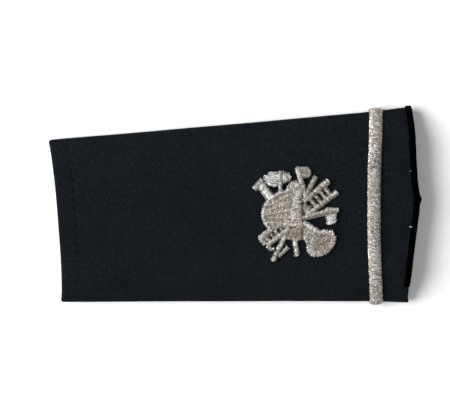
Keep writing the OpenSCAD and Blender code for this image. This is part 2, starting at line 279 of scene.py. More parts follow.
def joined(tree, x, y=0.0, z=0.0):
    return node(tree, "ShaderNodeCombineXYZ", {0: x, 1: y, 2: z})


def blend(share, first, second):
    return node(share.tree, "ShaderNodeMix", {"Factor": share, "A": first, "B": second}, data_type="RGBA")


def mottle(place, scale, detail=2.0):
    return node(place.tree, "ShaderNodeTexNoise", {"Vector": place, "Scale": scale, "Detail": detail})


def new_finish(name):
    """A material with an empty tree, that tree, and the place on the board for its patterns."""
    material = bpy.data.materials.new(name)
    material.use_nodes = True
    tree = material.node_tree
    tree.nodes.clear()
    return material, tree, node(tree, "ShaderNodeTexCoord").of("Object")


def shaded(material, relief, surface):
    """Ends a finish: relief holds what its bumps are, and surface what its colour and gloss are."""
    tree = material.node_tree
    bump = node(tree, "ShaderNodeBump", relief)
    shader = node(tree, "ShaderNodeBsdfPrincipled", {**surface, "Normal": bump})
    node(tree, "ShaderNodeOutputMaterial", {"Surface": shader})
    return material


def cloth_finish(name, dark, light, pale_dash_colour, fibre, warp, weft, fleck):
    """Steep twill: yarns at the spacings warp and weft, each over two and under one, so that ridges
    run up to the right. The yarns' ridges are painted lighter and the hollows between them darker,
    as painted shade. Paler dashes lie in patches along the twill, and fleck is how few fibres stand out."""
    material, tree, solid = new_finish(name)
    place = node(tree, "ShaderNodeUVMap", uv_map="weave")
    shift = (mottle(solid, 900.0).of("Color") - (0.5, 0.5, 0.5)) * 0.00016
    x, y, _ = split(place + shift)
    across, up = x / warp, y / weft
    ridge = calc("COSINE", (across - up) * (2 * math.pi / 3)) * 0.5 + 0.5
    step = calc("FLOORED_MODULO", calc("FLOOR", across) - calc("FLOOR", up), 3.0)
    over = calc("LESS_THAN", step, 1.5)
    warp_bend, weft_bend = (calc("SINE", calc("FRACT", turn) * math.pi) for turn in (across, up))
    yarn = over * warp_bend + (1.0 - over) * weft_bend * 0.55
    relief = ridge * 0.42 + yarn * 0.42
    fuzz = (mottle(solid, 5200.0, 3.0) - 0.5) * 2.2 + 0.5
    cloud = mottle(solid, 95.0, 3.0)
    speck = stretch(mottle(solid, 3300.0, 1.0), fleck, fleck + 0.08)
    slant = joined(tree, calc("DOT_PRODUCT", place, (680.0, 1050.0, 0.0)),
                   calc("DOT_PRODUCT", place, (-3500.0, 2270.0, 0.0)))
    dashes = stretch(mottle(slant, 1.0), 0.54, 0.7)
    patch = stretch(mottle(solid, 260.0), 0.38, 0.62, 0.15, 0.33)
    # Painted shade: the relief is painted into the colour, lighter on ridges and darker in the hollows; fuzz
    # and cloud add random tone.
    shade = (relief * 0.62 + fuzz * 0.62) * (cloud * 0.7 + 0.65)
    shade = calc("MAXIMUM", calc("MINIMUM", shade, 1.3), 0.0)
    colour = blend(shade, dark, light)
    # Paler dashes in patches along the twill.
    colour = blend(dashes * patch, colour, pale_dash_colour)
    colour = blend(speck * 0.24, colour, fibre)
    return shaded(material, {"Strength": 0.7, "Distance": 0.00011, "Height": relief + fuzz * 0.5}, {
        "Base Color": colour, "Roughness": 0.9, "Specular IOR Level": 0.02, "Sheen Weight": 0.008,
        "Sheen Roughness": 0.45, "Sheen Tint": (0.72, 0.84, 1.0, 1)})


navy_twill = cloth_finish("navy_twill", (0.0005, 0.0009, 0.0014, 1), (0.0078, 0.0100, 0.0125, 1),
                          (0.038, 0.046, 0.054, 1), (0.078, 0.09, 0.106, 1), 0.000278, 0.000428, 0.662)
sleeve = piece("cloth_sleeve", cloth_sleeve(), navy_twill)
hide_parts("sleeve")
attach(sleeve, "root")

# ---------------------------------------------------------------- Hem stitches
# One row of lockstitch in black sewing thread holds the turned-in hem, all round the narrow end. Each
# stitch is a short, slightly sunk length of thread between two needle holes.

STITCH_GAP, HEM_THREAD = 0.7, 0.13


def geometry_tree(name, *sizes):
    """A tree that takes a mesh, named sizes and a material. Returns it with its inputs by name."""
    tree = bpy.data.node_groups.new(name, "GeometryNodeTree")
    tree.interface.new_socket("Geometry", in_out="OUTPUT", socket_type="NodeSocketGeometry")
    kinds = {"Geometry": "Geometry", "Fan": "Vector", "Seed": "Int", "Material": "Material"}
    for size in ("Geometry", *sizes, "Material"):
        tree.interface.new_socket(size, in_out="INPUT", socket_type="NodeSocket" + kinds.get(size, "Float"))
    start = tree.nodes.new("NodeGroupInput")
    return tree, {socket.name: Wire(tree, socket) for socket in start.outputs if socket.name}


def finish_tree(mesh, given):
    tree = mesh.tree
    mesh = node(tree, "GeometryNodeSetShadeSmooth", {"Geometry": mesh})
    mesh = node(tree, "GeometryNodeRealizeInstances", {"Geometry": mesh})
    mesh = node(tree, "GeometryNodeSetMaterial", {"Geometry": mesh, "Material": given["Material"]})
    node(tree, "NodeGroupOutput", {0: mesh})
    return tree


def named(tree, attribute):
    return node(tree, "GeometryNodeInputNamedAttribute", {"Name": attribute}, data_type="FLOAT_VECTOR")


def stored(mesh, name, value, kind="FLOAT"):
    return node(mesh.tree, "GeometryNodeStoreNamedAttribute", {"Geometry": mesh, "Name": name, "Value": value},
                data_type=kind, domain="POINT")


def as_curve(mesh):
    return node(mesh.tree, "GeometryNodeMeshToCurve", {"Mesh": mesh})


def line_mesh(name, points, outs=None, sizes=(), closed=False):
    """A bare line of points in millimetres, with the way out of the cloth and sizes stored on it."""
    mesh = bpy.data.meshes.new(name)
    count = len(points)
    edges = [(k, (k + 1) % count) for k in range(count if closed else count - 1)]
    mesh.from_pydata([Vector(p) * MM for p in points], edges, [])
    for label, values in (("out", outs), ("size", [(a * MM, b * MM, 0) for a, b in sizes])):
        if values:
            mesh.attributes.new(label, "FLOAT_VECTOR", "POINT").data.foreach_set(
                "vector", np.asarray(values, float).ravel())
    return mesh


def grown(mesh, tree, **sizes):
    """Runs a tree on a mesh and gives back the plain mesh that it makes."""
    base = bpy.data.objects.new("base", mesh)
    bpy.context.scene.collection.objects.link(base)
    modifier = base.modifiers.new("tree", "NODES")
    modifier.node_group = tree
    for item in tree.interface.items_tree:
        if item.in_out == "INPUT" and item.name in sizes:
            modifier[item.identifier] = sizes[item.name]
    ready = bpy.context.evaluated_depsgraph_get()
    plain = bpy.data.meshes.new_from_object(base.evaluated_get(ready), depsgraph=ready)
    base.modifiers.clear()
    bpy.data.objects.remove(base)
    return plain


def thread_tube(curve, thread, sides=6):
    """A thread along a curve. Its length so far and the way round it are stored on it for its finish."""
    tree = curve.tree
    line = stored(curve, "run", node(tree, "GeometryNodeSplineParameter").of("Length"))
    ring = node(tree, "GeometryNodeCurvePrimitiveCircle", {"Resolution": sides, "Radius": thread})
    way_round = calc("NORMALIZE", node(tree, "GeometryNodeInputPosition"))
    ring = stored(ring, "way_round", way_round, "FLOAT_VECTOR")
    return node(tree, "GeometryNodeCurveToMesh", {"Curve": line, "Profile Curve": ring, "Fill Caps": True})


def stitch_row_tree():
    """Single stitches along a line: each comes up from one needle hole and goes down into the next."""
    tree, given = geometry_tree("stitch_row", "Pitch", "Length", "Thread")
    spots = node(tree, "GeometryNodeCurveToPoints", {
        "Curve": as_curve(given["Geometry"]), "Length": given["Pitch"]}, mode="LENGTH")
    half, sunk, proud = given["Length"] * 0.5, given["Thread"] * -1.3, given["Thread"] * 1.7
    arc = node(tree, "GeometryNodeCurveQuadraticBezier", {
        "Resolution": 8, "Start": joined(tree, half * -1.0, 0.0, sunk), "Middle": joined(tree, 0.0, 0.0, proud),
        "End": joined(tree, half, 0.0, sunk)})
    lie = node(tree, "FunctionNodeAlignRotationToVector", {"Vector": spots.of("Tangent")}, axis="X")
    lie = node(tree, "FunctionNodeAlignRotationToVector", {"Rotation": lie, "Vector": named(tree, "out")},
               axis="Z", pivot_axis="X")
    stitches = node(tree, "GeometryNodeInstanceOnPoints", {
        "Points": spots, "Instance": thread_tube(arc, given["Thread"], 7), "Rotation": lie})
    return finish_tree(stitches, given)


def thread_finish(name, base, bright, rough, metal, glint, wrap=0.00022, dash=0.0005, specular=0.4,
                  flashes=0.0, coat=0.0, tilt=0.0, flash_colour=(0.93, 0.905, 0.86, 1), rare=(0.67, 0.79),
                  mirror=0.5):
    """Thread of a foil or ply wound round a core. Each turn, a wrap long, and each dash of the thread
    is painted lighter and made glossier by chance, as painted glints, and one thread is lighter or darker
    than the next. The grooves between turns are painted darker, as painted shade. Each turn also tilts
    by chance, and where the two chances meet above rare, a painted flash of flash_colour lies on the
    colour, with more metal."""
    material, tree, solid = new_finish(name)
    tone, run, around = (
        node(tree, "ShaderNodeAttribute", attribute_name=label, attribute_type="GEOMETRY").of(output)
        for label, output in (("tone", "Fac"), ("run", "Fac"), ("way_round", "Vector")))
    x, y, _ = split(around)
    turns = run / wrap + calc("ARCTAN2", y, x) / (2 * math.pi)
    dashes = run / dash + tone * 19.0
    which_thread = calc("FLOOR", tone * 97.0)
    by_turn, by_dash = (
        node(tree, "ShaderNodeTexWhiteNoise", {"Vector": joined(tree, calc("FLOOR", place), which_thread)},
             noise_dimensions="3D")
        for place in (turns, dashes))
    spark = by_turn * 0.55 + by_dash * 0.45
    facet = (by_turn.of("Color") - (0.5, 0.5, 0.5)) * tilt
    facing = calc("NORMALIZE", node(tree, "ShaderNodeNewGeometry").of("Normal") + facet)
    grain = mottle(solid, 2200.0, 3.0)
    groove = stretch(abs(calc("FRACT", turns) - 0.5), 0.5, 0.3)
    lit = spark ** 2.4
    # Painted glints: lit lightens the colour; the groove term paints shade between the turns.
    share = (tone * 0.42 + (lit * 1.25 + grain * 0.12)) * (groove * 0.4 + 0.6)
    # Tone above 1.1 carries the painted highlights on the crests of fill ribs.
    rib_crest_glint = calc("MAXIMUM", tone - 1.1, 0.0)
    flash = stretch(rib_crest_glint * 0.3 + spark, *rare, 0.0, flashes)
    # The flash is a painted highlight blended into the colour.
    colour = blend(flash, blend(share, base, bright), flash_colour)
    return shaded(
        material,
        {"Strength": 0.8, "Distance": 0.00003, "Height": groove * 1.5 + (by_turn + grain), "Normal": facing},
        {"Base Color": colour, "Roughness": lit * -glint + rough, "Metallic": flash * mirror + metal,
         "Specular IOR Level": specular, "Coat Weight": coat, "Coat Roughness": 0.3})


black_thread = thread_finish("black_thread", (0.0006, 0.0007, 0.0009, 1), (0.0045, 0.0055, 0.0068, 1),
                             0.9, 0.0, 0.05, specular=0.03)
stitch_row = stitch_row_tree()


def stitch_line(name, lows, highs, closed=False):
    """A line of stitches from points on the cloth and points straight above them."""
    return line_mesh(name, lows, [(high - low).normalized() for low, high in zip(lows, highs)], closed=closed)


def round_the_hem():
    steps, sunk = 320, -0.22
    places = [-4 + 8 * k / steps for k in range(steps)]
    lows, highs = ([on_cloth(HEM_D / BOARD_LEN, q, out) for q in places] for out in (sunk, sunk + 1))
    return stitch_line("hem_line", lows, highs, closed=True)


hem_stitches = piece("hem_stitches", grown(
    round_the_hem(), stitch_row, Pitch=HEM_STITCH * MM, Length=(HEM_STITCH - STITCH_GAP) * MM,
    Thread=HEM_THREAD * MM, Material=black_thread))
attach(hem_stitches, "root")

# ---------------------------------------------------------------- End binding
# A narrow black ribbed tape is folded over the front's raw edge at the wide end and stitched through.
# It starts round the upper fold and stops short of the lower corner.

BIND_W, BIND_SHORT, BIND_TOP = 1.58, 6.0, 2.2
TAPE_FOLDED, TAPE_GAP, TAPE_ROUND = 0.2, 0.04, 0.6
BIND_STOP = girth_at(WIDE_W / 2, BIND_SHORT - WIDE_W / 2)
RIB_PITCH, RIB_RISE, RAGGED = 0.55, 0.025, 0.05
JUT, JUT_Y, JUT_W = 0.38, 3.2, 0.9


def binding_section():
    """The folded tape's outside and inside: distance past the cloth's edge, height above the cloth."""
    out, deep = TAPE_GAP + TAPE_FOLDED, CLOTH_T + TAPE_GAP + TAPE_FOLDED
    turn = TAPE_ROUND
    quarter = np.linspace(0, math.pi / 2, 6)
    outside = [(-BIND_W, out - 0.08), (-BIND_W + 0.1, out), (-1.05, out), (-0.6, out)]
    outside += [(out - turn + turn * math.sin(a), out - turn + turn * math.cos(a)) for a in quarter]
    outside += [(out - turn + turn * math.cos(a), turn - deep - turn * math.sin(a)) for a in quarter]
    outside += [(-BIND_W + 0.1, -deep), (-BIND_W, 0.08 - deep), (-BIND_W, TAPE_FOLDED - deep)]
    inside = [(TAPE_GAP - 0.15, TAPE_FOLDED - deep), (TAPE_GAP, TAPE_FOLDED + 0.15 - deep),
              (TAPE_GAP, TAPE_GAP - 0.15), (TAPE_GAP - 0.15, TAPE_GAP), (-BIND_W, TAPE_GAP)]
    return outside, inside


def binding_point(q, past, out):
    w = WIDE_W / 2
    u = girth_point(w, q, 0)[0] / w
    return Vector((wide_end(u) + past, *girth_point(w, q, out)))


def binding_mesh():
    places = np.linspace(BIND_TOP, BIND_STOP, 190)
    outside, inside = binding_section()
    section = outside + inside
    points, runs, run = [], [], 0
    for k, q in enumerate(places):
        if k:
            run += (binding_point(q, 0, 0) - binding_point(places[k - 1], 0, 0)).length
        rib = RIB_RISE * math.sin(2 * math.pi * run / RIB_PITCH)
        ragged = RAGGED * noise.noise(Vector((run / 1.7, 2.2, 0)))
        folded_over = 0.42 * min(1, max(0, (q - 1.7) / 0.3)) ** 2
        jut = JUT * math.exp(-(((binding_point(q, 0, 0).y - JUT_Y) / JUT_W) ** 2))
        for j, (past, out) in enumerate(section):
            outer = j < len(outside)
            past += ragged if past < -BIND_W + 0.2 else jut if outer and past > 0 else 0
            points.append(binding_point(q, past, out + (rib + folded_over if outer and out > 0 else 0)))
        runs.append(run)
    count = len(section)
    lengths = [0.0]
    for j in range(count):
        lengths.append(lengths[-1] + math.dist(section[j], section[(j + 1) % count]))
    faces, coords = [], []
    for quad in ring_grid(len(places), count, False):
        faces.append([i * count + j for i, j in quad])
        last = quad[0][1] == count - 1
        coords += [(runs[i], lengths[count] if last and j == 0 else lengths[j]) for i, j in quad]
    for i, order in ((0, 1), (len(places) - 1, -1)):
        cap = [i * count + j for j in range(count)][::order]
        faces.append(cap)
        coords += [(runs[i], lengths[j % count]) for j in cap]
    return mesh_of("binding", points, faces, coords)


def tape_finish():
    """Black ribbed tape: close ribs across its run, hardly any shine."""
    material, tree, solid = new_finish("black_tape")
    along, across, _ = split(node(tree, "ShaderNodeUVMap", uv_map="weave"))
    ribs = calc("SINE", along * (2 * math.pi / (RIB_PITCH * MM)))
    picks = calc("SINE", across * (2 * math.pi / 0.0002))
    fuzz = mottle(solid, 4000.0, 3.0)
    colour = blend(fuzz, (0.00003, 0.00003, 0.00005, 1), (0.0005, 0.0005, 0.0007, 1))
    return shaded(
        material, {"Strength": 0.6, "Distance": 0.00006, "Height": ribs * 0.5 + (picks * 0.25 + fuzz)},
        {"Base Color": colour, "Roughness": 0.85, "Specular IOR Level": 0.006})


binding = piece("edge_binding", binding_mesh(), tape_finish())
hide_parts("end_binding")
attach(binding, "root")


def along_the_binding():
    inset, sunk = 0.36, TAPE_GAP + TAPE_FOLDED - 0.03
    places = np.linspace(BIND_TOP - 0.3, BIND_STOP + 0.12, 160)
    lows, highs = ([binding_point(q, -BIND_W + inset, out) for q in places] for out in (sunk, sunk + 1))
    return stitch_line("binding_line", lows, highs)


binding_stitches = piece("binding_stitches", grown(
    along_the_binding(), stitch_row, Pitch=1.9 * MM, Length=1.5 * MM, Thread=0.08 * MM, Material=black_thread))
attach(binding_stitches, "root")

# ---------------------------------------------------------------- Rank bar
# A padded bar of silver metallic thread, worked in close zigzag satin stitch over a cord of padding.
# It follows the front across the wide end and wraps round both side folds.

BAR_W, BAR_H, BAR_BOW, BAR_WRAP = 3.65, 0.65, 1.3, math.radians(28)
BAR_X, BAR_SHIFT, BAR_DRAWN_IN = END_X - BAR_INSET, 0.06, 0.22


def chance(low, high, number, seed):
    return node(number.tree, "FunctionNodeRandomValue", {"Min": low, "Max": high, "ID": number, "Seed": seed})


def lines_of(grid, axis):
    """Leaves only the edges of a grid that run straight across an axis, 0 or 1."""
    ends = node(grid.tree, "GeometryNodeInputMeshEdgeVertices")
    gap = abs(split(ends.of("Position 1") - ends.of("Position 2"))[axis])
    return node(grid.tree, "GeometryNodeDeleteGeometry", {
        "Geometry": grid, "Selection": calc("GREATER_THAN", gap, 0.00001)}, domain="EDGE", mode="EDGE_FACE")


def satin_tree():
    """Threads side by side across a line. Each runs from one side of it to the other, over the padding,
    at a slant that changes a little from thread to thread."""
    tree, given = geometry_tree("satin_stitch", "Pitch", "Thread", "Slant", "Wander", "Ragged", "Round", "Seed")
    line = as_curve(given["Geometry"])
    length = node(tree, "GeometryNodeCurveLength", {"Curve": line})
    count = calc("MAXIMUM", calc("ROUND", length / given["Pitch"]), 3.0)
    threads = lines_of(node(tree, "GeometryNodeMeshGrid", {
        "Size X": 1.0, "Size Y": 1.0, "Vertices X": count, "Vertices Y": 13}), 0)
    x, y, _ = split(node(tree, "GeometryNodeInputPosition"))
    along, over = x + 0.5, y + 0.5
    number = calc("ROUND", along * (count - 1.0))
    lean_pick, place_pick, width_pick, lift_pick, tone_pick = (
        chance(-1.0, 1.0, number, given["Seed"] + float(k)) for k in range(5))
    lean = (given["Slant"] + lean_pick * given["Wander"]) * (over - 0.5)
    lean = lean + place_pick * given["Pitch"] * 0.3
    factor = calc("MINIMUM", calc("MAXIMUM", along + lean / length, 0.0), 1.0)
    way, size = (
        node(tree, "GeometryNodeSampleCurve", {"Curves": line, "Value": named(tree, label), "Factor": factor},
             data_type="FLOAT_VECTOR", mode="FACTOR")
        for label in ("out", "size"))
    half, rise, _ = split(size)
    up = calc("NORMALIZE", way)
    side = calc("NORMALIZE", calc("CROSS_PRODUCT", way.of("Tangent"), up))
    turn = over * math.pi
    reach = calc("COSINE", turn) * half * (width_pick * given["Ragged"] + 1.0)
    bulge = calc("MAXIMUM", calc("SINE", turn), 0.0) ** given["Round"]
    lift = bulge * rise * (lift_pick * 0.07 + 0.95)
    spot = way.of("Position") + (side * (reach * -1.0) + up * lift)
    laid = node(tree, "GeometryNodeSetPosition", {
        "Geometry": stored(threads, "tone", tone_pick * 0.5 + 0.5), "Position": spot})
    return finish_tree(thread_tube(as_curve(laid), given["Thread"]), given)


satin_stitch = satin_tree()
COOL_FLASH = (0.90, 0.915, 0.93, 1)
# The lit copy of the one silver thread: its lightness is painted light.
bright_thread = thread_finish("silver_thread", (0.088, 0.083, 0.075, 1), (0.77, 0.75, 0.71, 1),
                              0.40, 0.62, 0.16, flashes=0.7, tilt=0.25)
bar_thread = thread_finish("bar_thread", (0.038, 0.029, 0.022, 1), (0.53, 0.44, 0.36, 1),
                           0.36, 0.5, 0.16, wrap=0.0003, dash=0.00055, specular=1.0, flashes=0.78,
                           coat=0.3, tilt=0.35, flash_colour=COOL_FLASH, rare=(0.55, 0.7), mirror=0.35)


def padding_finish(name, dark, light):
    """The padding under the threads: rows of dull yarn laid on the slant, half hidden."""
    material, tree, solid = new_finish(name)
    across = calc("DOT_PRODUCT", solid, (0.82, 0.57, 0.2))
    rows = across / 0.00028 + mottle(solid, 700.0) * 1.6
    yarn = abs(calc("SINE", rows * math.pi))
    # The hollows between yarn rows are painted darker, as painted shade.
    share = yarn * (mottle(solid, 5000.0) * 1.4 + 0.2)
    return shaded(material, {"Strength": 1.0, "Distance": 0.00012, "Height": yarn}, {
        "Base Color": blend(share, dark, light), "Roughness": 0.8, "Specular IOR Level": 0.1})


# Painted shade: the thread's colour, darkened, so that where it shows between threads and motifs it stands in
# for thread in shade.
shade_toned_padding = padding_finish("shade_toned_padding", (0.02, 0.018, 0.015, 1), (0.26, 0.24, 0.21, 1))


def solid_of(cad_name):
    """A copy of a solid from the frame with its loose triangles joined up."""
    shape = bmesh.new()
    shape.from_mesh(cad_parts[cad_name].data)
    bmesh.ops.remove_doubles(shape, verts=shape.verts, dist=1e-6)
    return shape


def mesh_from(shape, name):
    mesh = bpy.data.meshes.new(name)
    shape.to_mesh(mesh)
    shape.free()
    return mesh


def underlay(cad_name, drawn_in, lowered, material):
    """The padding below the threads: the solid of that piece, drawn in at its sides and lowered."""
    shape = solid_of(cad_name)
    shape.normal_update()
    moves = []
    for vertex in shape.verts:
        sideways = vertex.normal.xy.to_3d()
        if sideways.length > 0.01:
            sideways.normalize()
        moves.append(sideways * drawn_in * MM + Vector((0, 0, max(vertex.normal.z, 0) ** 0.5 * lowered * MM)))
    for vertex, move in zip(shape.verts, moves):
        vertex.co -= move
    mesh = mesh_from(shape, cad_name + "_underlay")
    mesh.materials.clear()
    mesh.materials.append(material)
    mesh.polygons.foreach_set("material_index", [0] * len(mesh.polygons))
    return mesh


def one_piece(name, meshes):
    """Joins worked layers into one piece that stays at the origin."""
    parts = [piece(name, mesh) for mesh in meshes]
    with bpy.context.temp_override(active_object=parts[0], object=parts[0], selected_objects=parts,
                                   selected_editable_objects=parts):
        bpy.ops.object.join()
    parts[0].name = name
    return parts[0]


def bar_line(lower):
    """The bar's middle line over the front and round both folds, thinning at its rounded ends."""
    q_end = 2 + (FOLD_TOP + BAR_WRAP) / (FOLD_TOP + math.pi / 2)
    points, outs, sizes = [], [], []
    w_bar = half_width((BAR_X - START_X) / BOARD_LEN)
    for q in np.linspace(-q_end, q_end, 150):
        u = girth_point(w_bar, q, 0)[0] / w_bar
        x = BAR_X + BAR_SHIFT + BAR_BOW * abs(u) ** 3
        w = half_width((x - narrow_end(u)) / (wide_end(u) - narrow_end(u)))
        low, high = girth_point(w, q, 0.12), girth_point(w, q, 1.12)
        full = math.sqrt(max(0.16, 1 - (1 - min(1, (q_end - abs(q)) / 0.1)) ** 2))
        wobble = 1 + 0.025 * noise.noise(Vector((q * 9, 0.4, 1)))
        points.append((x, *low))
        outs.append((0, high[0] - low[0], high[1] - low[1]))
        sizes.append((BAR_W / 2 * full * wobble - BAR_DRAWN_IN, (BAR_H - 0.02 - lower) * full))
    return line_mesh("bar_line", points, outs, sizes)


def satin(line, pitch, thread, slant, wander, ragged, seed, material, roundness):
    return grown(line, satin_stitch, Pitch=pitch * MM, Thread=thread * MM, Slant=slant * MM,
                 Wander=wander * MM, Ragged=ragged, Round=roundness, Seed=seed, Material=material)


rank_bar = one_piece("rank_bar_thread", [
    satin(bar_line(0.0), 0.25, 0.15, -1.9, 0.6, 0.06, 11, bar_thread, 1.1),
    satin(bar_line(0.04), 0.24, 0.145, 1.2, 0.5, 0.04, 23, bar_thread, 1.1),
    underlay("rank_bar", 0.2, 0.2, shade_toned_padding),
])
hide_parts("rank_bar")
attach(rank_bar, "root")

# ---------------------------------------------------------------- Emblem
# Fire service tools worked in silver thread over padding: a helmet seen from the side over a speaking
# trumpet, a ladder, axes and a hooked pole. Narrow parts are satin stitch, and broad ones are filled
# with rows of stitches. The drawing is in hundredths of the emblem's size, about its centre.

EMBLEM, EMBLEM_AT = 25.0, (BAR_X - 20.25, 0.8)
CLOTH_Z = SLEEVE_H + SEAT_GAP
FILL_THREAD, FILL_RAGGED, FILL_STEP = 0.125, 0.1, 0.12
PADDING_LOWERED = 0.25
FOIL, FACET_TILT = (0.42, 0.6, 0.16), 0.25
# Lighter and darker copies of the one silver thread, chosen piece by piece: their lightness is painted light
# and shade, not a thread colour. The palest copy is also the real colour of a pale loose thread end.
half_lit_silver_thread = thread_finish("half_lit_silver_thread", (0.070, 0.063, 0.053, 1), (0.68, 0.635, 0.56, 1),
                             0.41, 0.6, 0.16, flashes=0.7, tilt=FACET_TILT)
dull_thread = thread_finish("silver_thread_in_shade", (0.054, 0.046, 0.036, 1), (0.56, 0.505, 0.42, 1),
                            *FOIL, flashes=0.65, tilt=FACET_TILT)
highlight_and_pale_thread = thread_finish("highlight_and_pale_thread", (0.2, 0.2, 0.198, 1), (0.95, 0.945, 0.93, 1),
                             *FOIL, flashes=0.8, tilt=0.2, flash_colour=COOL_FLASH)
comb_highlight_thread = thread_finish("comb_highlight_thread", (0.12, 0.11, 0.1, 1), (0.88, 0.845, 0.765, 1),
                            *FOIL, flashes=0.8, tilt=0.2)
deep_shaded_thread = thread_finish("shaded_thread", (0.044, 0.038, 0.03, 1), (0.40, 0.345, 0.265, 1),
                            0.5, 0.45, 0.2, flashes=0.4, tilt=0.5)
dark_padding = padding_finish("dark_padding", (0.0005, 0.0006, 0.0008, 1), (0.006, 0.007, 0.009, 1))


def fill_tree():
    """Rows of thread that fill the top face of a solid. They rise from its outline to its full height
    and sink a little at each needle hole. Ribs fan out from a point far to one side, and their crests
    are dotted with painted highlights, laid into the thread's tone."""
    tree, given = geometry_tree("filled_stitch", "Turn", "Pitch", "Thread", "Rise", "Shoulder", "Overlap",
                                "Stitch", "Dimple", "Ragged", "Fan", "Rib", "Rib height", "Seed")
    facing = split(node(tree, "GeometryNodeInputNormal"))[2]
    top = node(tree, "GeometryNodeSeparateGeometry", {
        "Geometry": given["Geometry"], "Selection": calc("GREATER_THAN", facing, 0.9)}, domain="FACE")
    inner = calc("GREATER_THAN", node(tree, "GeometryNodeInputMeshEdgeNeighbors"), 1.5)
    rim = node(tree, "GeometryNodeDeleteGeometry", {"Geometry": top, "Selection": inner},
               domain="EDGE", mode="EDGE_FACE")
    box = node(tree, "GeometryNodeBoundBox", {"Geometry": top})
    low, high = box.of("Min"), box.of("Max")
    span = calc("LENGTH", high - low) * 1.05
    lines = lines_of(node(tree, "GeometryNodeMeshGrid", {
        "Size X": span, "Size Y": span, "Vertices X": calc("ROUND", span / (FILL_STEP * MM)),
        "Vertices Y": calc("ROUND", span / given["Pitch"])}), 1)
    x, y, _ = split(node(tree, "GeometryNodeInputPosition"))
    number = calc("ROUND", y / given["Pitch"])
    row_pick, end_pick, hole_pick, wave_pick = (
        chance(-1.0, 1.0, number + 400.0, given["Seed"] + float(k)) for k in range(4))

    def turned(vector):
        return node(tree, "ShaderNodeVectorRotate", {"Vector": vector, "Angle": given["Turn"]},
                    rotation_type="Z_AXIS")

    waver = calc("SINE", calc("MULTIPLY_ADD", x, 2600.0, wave_pick * 9.0))
    row = calc("MULTIPLY_ADD", row_pick * 0.32 + waver * 0.16, given["Pitch"], y)
    placed = turned(joined(tree, x, row)) + (high + low) * 0.5
    probe = placed + turned((1.0, 0.0, 0.0)) * (end_pick * given["Ragged"])
    hit = node(tree, "GeometryNodeRaycast", {
        "Target Geometry": top, "Source Position": probe + (0.0, 0.0, 0.005),
        "Ray Direction": (0.0, 0.0, -1.0), "Ray Length": 0.02})
    near = node(tree, "GeometryNodeProximity", {"Geometry": rim, "Sample Position": probe},
                target_element="EDGES").of("Distance")
    inside = calc("MULTIPLY_ADD", near, hit * 2.0 + -1.0, given["Overlap"])
    short = 1.0 - calc("MINIMUM", calc("MAXIMUM", inside, 0.0) / given["Shoulder"], 1.0)
    dome = calc("SQRT", calc("MAXIMUM", 1.0 - short * short, 0.0))
    phase = x / given["Stitch"] + calc("MULTIPLY_ADD", hole_pick, 0.18, number * 0.37)
    needle = abs(calc("SINE", phase * math.pi)) ** 0.5
    sink = (1.0 - needle) * given["Dimple"]
    fan_x, fan_y, _ = split(placed - given["Fan"])
    bearing = calc("ARCTAN2", fan_y, fan_x) * given["Rib"]
    ribs = abs(calc("COSINE", bearing)) ** 1.6 * given["Rib height"]
    lift = dome * (given["Rise"] + ribs) - sink * dome + wave_pick * dome * 0.00004
    ground_x, ground_y, _ = split(placed)
    spot = joined(tree, ground_x, ground_y, lift + CLOTH_Z * MM)
    stitch_number = calc("FLOOR", phase) + number * 31.0
    # Painted highlights: dots on the ribs' crests raise the tone, and the thread's finish paints higher tone
    # lighter.
    rib_crest_glint = (ribs / calc("MAXIMUM", given["Rib height"], 0.00001)) ** 8.0
    rib_number = calc("FLOOR", calc("MULTIPLY_ADD", bearing, 1 / math.pi, 0.5))
    glint_dot_chance = chance(-1.5, 3.7, number * 13.0 + (rib_number + 700.0), given["Seed"])
    tone = chance(0.0, 0.8, stitch_number + 9000.0, given["Seed"]) + rib_crest_glint * calc("MAXIMUM", glint_dot_chance, 0.0)
    threads = stored(lines, "tone", tone)
    threads = stored(threads, "keep", calc("GREATER_THAN", inside, 0.0))
    laid = node(tree, "GeometryNodeSetPosition", {"Geometry": threads, "Position": spot})
    keep = node(tree, "GeometryNodeInputNamedAttribute", {"Name": "keep"}, data_type="FLOAT")
    cut = node(tree, "GeometryNodeDeleteGeometry", {
        "Geometry": laid, "Selection": calc("LESS_THAN", keep, 0.5)}, domain="POINT", mode="ALL")
    return finish_tree(thread_tube(as_curve(cut), given["Thread"]), given)


filled_stitch = fill_tree()


def emblem_point(a, b):
    return EMBLEM_AT[0] + a * EMBLEM / 100, EMBLEM_AT[1] + b * EMBLEM / 100


def stroke(points, rise, slant, seed, material=bright_thread, base=0.0, steps=12, pitch=0.27,
           roundness=1.15, thread=0.145):
    """Satin stitch along a drawn line of (across, up, width), rise high over the cloth. A fourth number at
    every point is the share of rise there."""
    line = [[a + (b - a) * k / steps for a, b in zip(first, second)]
            for first, second in zip(points, points[1:]) for k in range(steps)] + [list(points[-1])]
    spots = [(*emblem_point(a, b), CLOTH_Z + base) for a, b, *_ in line]
    sizes = [(wide * EMBLEM / 200 + 0.03, rise * (share[0] if share else 1)) for _, _, wide, *share in line]
    path = line_mesh("stroke_line", spots, [(0, 0, 1)] * len(line), sizes)
    return satin(path, pitch, thread, slant, 0.45, 0.17, seed, material, roundness)


